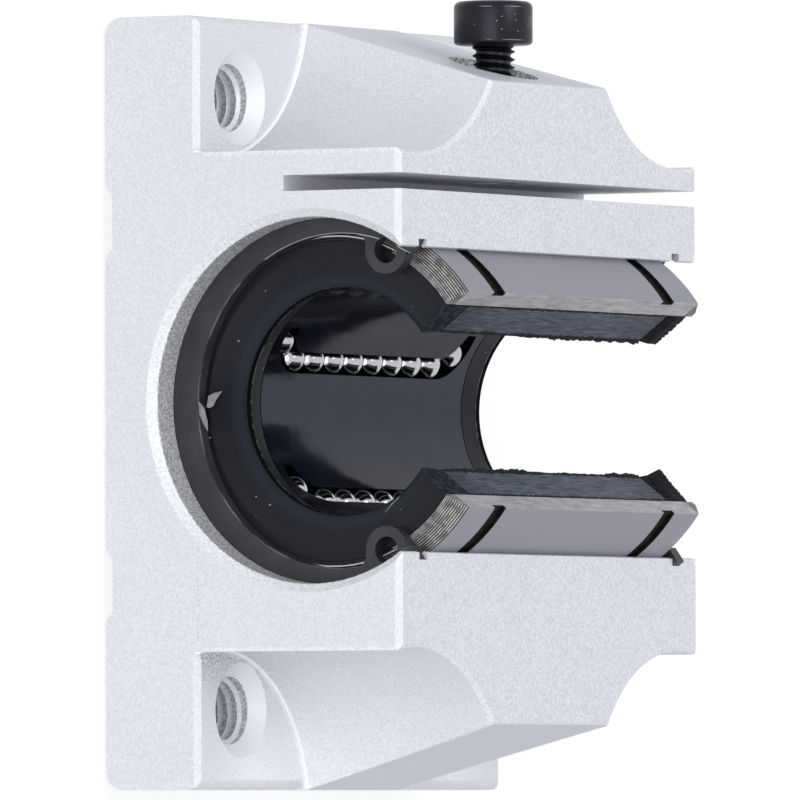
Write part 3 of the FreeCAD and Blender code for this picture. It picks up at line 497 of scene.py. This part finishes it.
def new_tree(name, *inputs):
    """A tree of geometry nodes with its named inputs, and the outputs of its input node."""
    tree = bpy.data.node_groups.new(name, "GeometryNodeTree")
    tree.interface.new_socket(name="Points", in_out="INPUT", socket_type="NodeSocketGeometry")
    for label, kind in inputs:
        tree.interface.new_socket(name=label, in_out="INPUT", socket_type=kind)
    tree.interface.new_socket(name="Piece", in_out="OUTPUT", socket_type="NodeSocketGeometry")
    return tree, add(tree, "NodeGroupInput").outputs


def end_tree(tree, geometry, material):
    """Ends a tree: real faces, in one material."""
    real = add(tree, "GeometryNodeRealizeInstances", {0: geometry}).outputs[0]
    done = add(tree, "GeometryNodeSetMaterial", {"Geometry": real, "Material": material}).outputs[0]
    add(tree, "NodeGroupOutput", {0: done})
    return tree


def balls_tree():
    """A ball on every point."""
    tree, given = new_tree("bearing_balls", ("Diameter", "NodeSocketFloat"), ("Material", "NodeSocketMaterial"))
    half = add(tree, "ShaderNodeMath", {0: given["Diameter"], 1: 0.5}, operation="MULTIPLY").outputs[0]
    ball = add(tree, "GeometryNodeMeshIcoSphere", {"Radius": half, "Subdivisions": 4}).outputs[0]
    smooth = add(tree, "GeometryNodeSetShadeSmooth", {0: ball}).outputs[0]
    set_out = add(tree, "GeometryNodeInstanceOnPoints", {"Points": given["Points"], "Instance": smooth}).outputs[0]
    return end_tree(tree, set_out, given["Material"])


def thread_tree():
    """A helical thread ridge of triangular section on every point, turned to its axis."""
    tree, given = new_tree(
        "thread_ridge", ("Pitch", "NodeSocketFloat"), ("Radius", "NodeSocketFloat"), ("Length", "NodeSocketFloat"),
        ("Section", "NodeSocketFloat"), ("Section Turn", "NodeSocketFloat"), ("Axis Turn", "NodeSocketVector"),
        ("Material", "NodeSocketMaterial"))
    turns = add(tree, "ShaderNodeMath", {0: given["Length"], 1: given["Pitch"]}, operation="DIVIDE").outputs[0]
    helix = add(tree, "GeometryNodeCurveSpiral", {
        "Resolution": 48, "Rotations": turns, "Start Radius": given["Radius"], "End Radius": given["Radius"],
        "Height": given["Length"]}).outputs[0]
    upright = add(tree, "GeometryNodeSetCurveNormal", {0: helix}, mode="Z_UP").outputs[0]
    section = add(tree, "GeometryNodeCurvePrimitiveCircle", {"Resolution": 3, "Radius": given["Section"]}).outputs[0]
    spin = add(tree, "ShaderNodeCombineXYZ", {2: given["Section Turn"]}).outputs[0]
    aimed = add(tree, "GeometryNodeTransform", {"Geometry": section, "Rotation": spin}).outputs[0]
    ridge = add(tree, "GeometryNodeCurveToMesh", {"Curve": upright, "Profile Curve": aimed, "Fill Caps": True})
    flat = add(tree, "GeometryNodeSetShadeSmooth", {0: ridge.outputs[0], "Shade Smooth": False}).outputs[0]
    set_out = add(tree, "GeometryNodeInstanceOnPoints", {
        "Points": given["Points"], "Instance": flat, "Rotation": given["Axis Turn"]}).outputs[0]
    return end_tree(tree, set_out, given["Material"])


def grow(name, tree, points, values):
    """A plain mesh piece from a tree run on some points, with the tree's inputs set by their labels."""
    mesh = bpy.data.meshes.new(name)
    mesh.from_pydata(points, [], [])
    piece = linked(name, mesh)
    modifier = piece.modifiers.new(name, "NODES")
    modifier.node_group = tree
    for item in tree.interface.items_tree:
        if item.in_out == "INPUT" and item.name in values:
            modifier[item.identifier] = values[item.name]
    seen = piece.evaluated_get(bpy.context.evaluated_depsgraph_get())
    plain = bpy.data.meshes.new_from_object(seen)
    piece.modifiers.remove(modifier)
    piece.data = plain
    return piece


def ball_centres():
    """The middle of every ball of the CAD loops."""
    centres = []
    for name in sorted(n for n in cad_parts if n.startswith("ball_circuit")):
        shell = bmesh.new()
        shell.from_mesh(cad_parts[name].data)
        bmesh.ops.remove_doubles(shell, verts=shell.verts, dist=0.01 * MM)
        found = set()
        for first in shell.verts:
            if first in found:
                continue
            found.add(first)
            ball = [first]
            for vert in ball:
                near = [edge.other_vert(vert) for edge in vert.link_edges if edge.other_vert(vert) not in found]
                found.update(near)
                ball.extend(near)
            centres.append(sum((v.co for v in ball), Vector()) / len(ball))
        shell.free()
    return centres


def finish_piece(piece, body):
    """Says which body a new piece rides on."""
    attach(piece, body)
    return piece


def bearing_balls():
    """The balls of all loops as true spheres."""
    values = {"Diameter": BALL_DIAMETER, "Material": polished_steel()}
    balls = finish_piece(grow("bearing_balls", balls_tree(), ball_centres(), values), "block")
    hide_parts("ball_circuit_1", "ball_circuit_2", "ball_circuit_3", "ball_circuit_4")


def bolt_threads(tree):
    """The cut threads in the four bolt holes."""
    points = [(x, y, BOLT_THREAD_BASE) for x in (-BOLT_X, BOLT_X) for y in (-BOLT_Y, BOLT_Y)]
    values = {
        "Pitch": BOLT_THREAD_PITCH, "Radius": BOLT_THREAD_RADIUS - BOLT_RIDGE_INSET,
        "Length": BOLT_THREAD_TOP - BOLT_THREAD_BASE, "Section": BOLT_RIDGE, "Section Turn": 0.0,
        "Axis Turn": (0.0, 0.0, 0.0), "Material": cut_aluminium()}
    finish_piece(grow("bolt_threads", tree, points, values), "block")


def torn_ridges(name, chains, material):
    """Ragged ridges, each a chain of stations of three corners: a foot, the crest and the other foot."""
    corners = []
    faces = []
    for chain in chains:
        for station in chain:
            corners += station
        ends = range(len(corners) - 3 * len(chain), len(corners), 3)
        for a, b in zip(ends, ends[1:]):
            faces += [(a, a + 1, b + 1, b), (a + 1, a + 2, b + 2, b + 1), (a + 2, a, b, b + 2)]
        faces += [(ends[0] + 2, ends[0] + 1, ends[0]), (ends[-1], ends[-1] + 1, ends[-1] + 2)]
    mesh = bpy.data.meshes.new(name)
    mesh.from_pydata(corners, [], faces)
    mesh.materials.append(material)
    finish_piece(linked(name, mesh), "block")


def slot_point(side, radius, y, lift):
    """A place on one of the slot's cut faces, or lifted off it into the slot."""
    across = radius * math.sin(SLOT_HALF_ANGLE) - lift * math.cos(SLOT_HALF_ANGLE)
    rise = radius * math.cos(SLOT_HALF_ANGLE) + lift * math.sin(SLOT_HALF_ANGLE)
    return (side * across, y, SHAFT_HEIGHT + rise)


def sawn_edge(dice, side, edge, out, rise):
    """The torn edge of the cage along one side of the slot, which hangs out past the edge by a ragged little."""
    count = 190
    chain = []
    tear = 0.1
    swell = 0.2
    for i in range(count):
        y = CAGE_HALF * (2 * i / (count - 1) - 1)
        swell = min(1.0, max(0.1, swell + dice.uniform(-0.16, 0.17)))
        tear = 0.6 * tear + 0.4 * swell * dice.random()
        hang = out * (0.02 + 0.22 * tear + dice.uniform(0, 0.04)) * MM
        chain.append((
            slot_point(side, edge - out * dice.uniform(0.15, 0.5) * MM, y, -0.03 * MM),
            slot_point(side, edge + hang, y, (0.02 + rise * tear) * MM),
            slot_point(side, edge - out * 0.02 * MM, y, -0.2 * MM)))
    return chain


def far_tear(dice, side, rise):
    """The flap of the far seal that the saw pushed up as it came out."""
    count = 34
    chain = []
    for i in range(count):
        share = i / (count - 1)
        radius = (10.1 + 4.0 * share) * MM
        y = SEAL_END - (1.0 + dice.uniform(-0.08, 0.12)) * MM
        lift = (0.07 + rise * (1 - share) + dice.uniform(-0.05, 0.05)) * MM
        chain.append((
            slot_point(side, radius, y - dice.uniform(1.2, 1.6) * MM, -0.03 * MM),
            slot_point(side, radius, y, lift),
            slot_point(side, radius, y - 0.2 * MM, -0.6 * MM)))
    return chain


def saw_burrs():
    """What the saw tore at the slot: ragged cage edges, a pushed up flap at each far end, two loose chips and a pale
    strip that is a painted highlight on the front seal's torn edge.
    """
    dice = random.Random(11)
    edges = []
    for side in (-1, 1):
        edges += [sawn_edge(dice, side, CAGE_BORE, -1, 0.35), sawn_edge(dice, side, CAGE_RADIUS, 1, 0.1)]
    black = torn_resin("acetal_resin_torn", "#08080A", "#24262B")
    torn_ridges("saw_burr_cage", edges, black)
    flaps = [far_tear(dice, -1, 0.08), far_tear(dice, 1, 0.75)]
    torn_ridges("saw_burr_seal", flaps, black)
    # the corners of the chips and of the highlight strip, in millimetres
    blade = [
        ((-0.2, -22.2, 7.56), (-0.2, -22.25, 7.6), (-0.18, -22.2, 7.62)),
        ((0.95, -22.2, 7.66), (0.7, -22.3, 7.95), (0.43, -22.2, 8.19)),
        ((1.83, -22.2, 8.08), (1.66, -22.3, 8.3), (1.49, -22.2, 8.5)),
        ((2.46, -22.2, 8.53), (2.46, -22.25, 8.55), (2.46, -22.2, 8.57))]
    wing = [
        ((0.34, -22.2, 8.42), (0.39, -22.25, 8.55), (0.44, -22.2, 8.68)),
        ((-0.63, -21.9, 8.43), (-0.2, -22.02, 8.7), (0.26, -21.9, 8.95)),
        ((-0.9, -21.5, 8.75), (-0.6, -21.6, 8.86), (-0.28, -21.5, 8.96)),
        ((-1.08, -21.05, 9.31), (-1.08, -21.1, 9.33), (-1.08, -21.05, 9.35))]
    # a pale strip along the front seal's torn slot edge: a painted highlight, not a chip
    edge_sheen = [
        ((9.98, -19.98, 25.36), (9.95, -20.05, 25.34), (9.9, -19.98, 25.3)),
        ((9.12, -19.9, 26.2), (9.06, -20.05, 26.15), (8.98, -19.85, 26.08)),
        ((8.5, -19.85, 26.9), (8.45, -19.95, 26.87), (8.4, -19.8, 26.82))]
    chips = [[[Vector(corner) * MM for corner in station] for station in chip] for chip in (blade, wing, edge_sheen)]
    torn_ridges("loose_chips_and_sheen", chips, torn_resin("acetal_resin_chip_and_sheen", "#6A6A6C", "#A2A2A5"))


def ring(shell, count, x, radius, flats=0.0):
    """A ring of corners about the screw's axis, round or, where flats are given, six-sided."""
    corners = []
    for i in range(count):
        turn = 2 * math.pi * i / count
        reach = radius
        if flats:
            reach = flats / 2 / math.cos((turn + math.pi / 6) % (math.pi / 3) - math.pi / 6)
        corners.append(shell.verts.new((x, reach * math.cos(turn), reach * math.sin(turn))))
    return corners


def screw_body():
    """The socket head cap screw without its thread: rounded head, six-sided socket, shank and point."""
    low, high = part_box("adjusting_screw")
    top, tip = low.x, high.x
    seat = top + HEAD_HEIGHT
    count = 72
    steps = 6
    middle = 0.02 * MM
    # each row is a place along the axis, a radius and the width over flats, from the socket round to the point
    rows = [
        (top + SOCKET_DEPTH + 0.5 * MM, middle, 0), (top + SOCKET_DEPTH, 0, SOCKET_FLATS),
        (top + 0.12 * MM, 0, SOCKET_FLATS), (top, 1.85 * MM, 0), (top, 2.85 * MM, 0)]
    for i in range(1, steps + 1):
        turn = math.pi / 2 * i / steps
        rows.append((top + HEAD_ROUND * (1 - math.cos(turn)), HEAD_RADIUS - HEAD_ROUND * (1 - math.sin(turn)), 0))
    rows += [
        (seat - 0.3 * MM, HEAD_RADIUS, 0), (seat - 0.09 * MM, HEAD_RADIUS - 0.09 * MM, 0),
        (seat, HEAD_RADIUS - 0.3 * MM, 0), (seat, SCREW_THREAD_RADIUS, 0), (seat + 0.2 * MM, 1.8 * MM, 0),
        (seat + 0.4 * MM, SHANK_RADIUS, 0), (tip - 0.5 * MM, SHANK_RADIUS, 0), (tip, POINT_RADIUS, 0),
        (tip, middle, 0)]
    shell = bmesh.new()
    rings = [ring(shell, count, x, radius, flats) for x, radius, flats in rows]
    for near, far in zip(rings, rings[1:]):
        for i in range(count):
            shell.faces.new((near[i], near[i - 1], far[i - 1], far[i]))
    shell.faces.new(rings[0])
    shell.faces.new(list(reversed(rings[-1])))
    bmesh.ops.translate(shell, verts=shell.verts, vec=(0, 0, (low.z + high.z) / 2))
    bmesh.ops.recalc_face_normals(shell, faces=shell.faces)
    for face in shell.faces:
        face.smooth = True
    for edge in shell.edges:
        edge.smooth = edge.calc_face_angle(0) < math.radians(40)
    mesh = bpy.data.meshes.new("adjusting_screw_body")
    shell.to_mesh(mesh)
    shell.free()
    return linked("adjusting_screw_body", mesh)


def adjusting_screw(tree):
    """The clearance adjusting screw with its thread."""
    low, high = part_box("adjusting_screw")
    seat = low.x + HEAD_HEIGHT
    black = oxide_black_steel((low.x + 0.57 * MM, seat - 0.32 * MM))
    body = finish_piece(screw_body(), "screw")
    body.data.materials.append(black)
    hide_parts("adjusting_screw")
    values = {
        "Pitch": SCREW_THREAD_PITCH, "Radius": SCREW_THREAD_RADIUS - SCREW_RIDGE,
        "Length": high.x - seat - 0.7 * MM, "Section": SCREW_RIDGE, "Section Turn": math.pi,
        "Axis Turn": (0.0, math.pi / 2, 0.0), "Material": black}
    points = [(seat + 0.2 * MM, 0.0, (low.z + high.z) / 2)]
    finish_piece(grow("adjusting_screw_thread", tree, points, values), "screw")


def dress_nodes():
    """The finishes of the CAD nodes that show as they are."""
    finishes = {
        "housing": blasted_aluminium(),
        "bushing_sleeve": ground_steel(),
        "ball_cage": moulded_resin(),
        "end_seal_front": moulded_rubber(),
        "circlip_front": phosphated_steel(),
    }
    finishes["end_seal_back"] = finishes["end_seal_front"]
    finishes["circlip_back"] = finishes["circlip_front"]
    for name, material in finishes.items():
        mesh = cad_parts[name].data
        mesh.materials.clear()
        mesh.materials.append(material)


def clear_rays(tree):
    """One for the rays that show the background: those of the camera, and those that metal or glass sends on."""
    rays = add(tree, "ShaderNodeLightPath").outputs
    clear = rays["Is Camera Ray"]
    for kind in ("Is Glossy Ray", "Is Transmission Ray"):
        clear = add(tree, "ShaderNodeMath", {0: clear, 1: rays[kind]}, operation="MAXIMUM").outputs[0]
    return clear


def floor():
    """A pale floor under the mounting face, white to the eye, that still takes the shadow."""
    mesh = bpy.data.meshes.new("floor")
    corners = [(x * FLOOR_HALF, y * FLOOR_HALF, 0) for x, y in ((-1, -1), (1, -1), (1, 1), (-1, 1))]
    mesh.from_pydata(corners, [], [(0, 1, 2, 3)])
    ground = linked("floor", mesh)
    ground.location.z = FLOOR_LEVEL
    material, tree, shader, _ = surface("studio_paper_matt")
    feed(tree, shader, {"Base Color": colour("#F2F2F3"), "Roughness": 0.9})
    white = add(tree, "ShaderNodeEmission", {"Color": (1, 1, 1, 1), "Strength": 1.12}).outputs[0]
    share = add(tree, "ShaderNodeMath", {0: clear_rays(tree), 1: 0.7}, operation="MULTIPLY").outputs[0]
    mixed = add(tree, "ShaderNodeMixShader", {0: share, 1: shader.outputs[0], 2: white}).outputs[0]
    feed(tree, tree.nodes["Material Output"], {"Surface": mixed})
    mesh.materials.append(material)


def lamp(name, place, size, watts):
    """A square soft box aimed at the block."""
    light = bpy.data.lights.new(name, "AREA")
    light.shape = "SQUARE"
    light.size = size
    light.energy = watts
    holder = linked(name, light)
    holder.location = place
    holder.rotation_euler = (Vector(LAMP_TARGET) - Vector(place)).to_track_quat("-Z", "Y").to_euler()


def studio():
    """Soft light from the front and above, dimmest from the sides, and white where the eye sees past the object."""
    world = bpy.data.worlds.new("studio")
    bpy.context.scene.world = world
    world.use_nodes = True
    tree = world.node_tree
    clear = clear_rays(tree)
    heading = add(tree, "ShaderNodeTexCoord").outputs["Generated"]
    x = add(tree, "ShaderNodeSeparateXYZ", {0: heading}).outputs[0]
    side = add(tree, "ShaderNodeMath", {0: x}, operation="ABSOLUTE").outputs[0]
    light = add(tree, "ShaderNodeMapRange", {0: side, 1: 0.35, 2: 0.9, 3: 0.72, 4: 0.24}).outputs[0]
    strength = add(tree, "ShaderNodeMix", {0: clear, 2: light, 3: 1.0}).outputs[0]
    tint = add(tree, "ShaderNodeMix", {0: clear, 6: (0.93, 0.96, 1, 1), 7: (1, 1, 1, 1)}, data_type="RGBA")
    feed(tree, tree.nodes["Background"], {"Color": tint.outputs[2], "Strength": strength})
    lamp("front_box", (0.15, -0.95, 0.4), 0.7, 3.2)
    lamp("top_box", (-0.3, -0.12, 0.99), 0.5, 3.2)


def camera():
    """The photograph's camera: far off with a long lens, rolled so that the mounting face is on the left."""
    right = Vector((0.002177, 0.525494, 0.850794))
    view = Vector((-0.027123, 0.850514, -0.525252))
    up = right.cross(view)
    place = (0.036066, -1.151638, 0.725918)
    lens = bpy.data.cameras.new("photo_camera")
    lens.sensor_width = 36.0
    lens.lens = 685.09
    lens.clip_end = 20.0
    eye = linked("photo_camera", lens)
    eye.matrix_world = Matrix.Translation(place) @ Matrix((right, up, -view)).transposed().to_4x4()
    bpy.context.scene.camera = eye


bpy.context.scene.view_settings.view_transform = "Standard"
dress_nodes()
thread = thread_tree()
bearing_balls()
bolt_threads(thread)
adjusting_screw(thread)
saw_burrs()
floor()
studio()
camera()
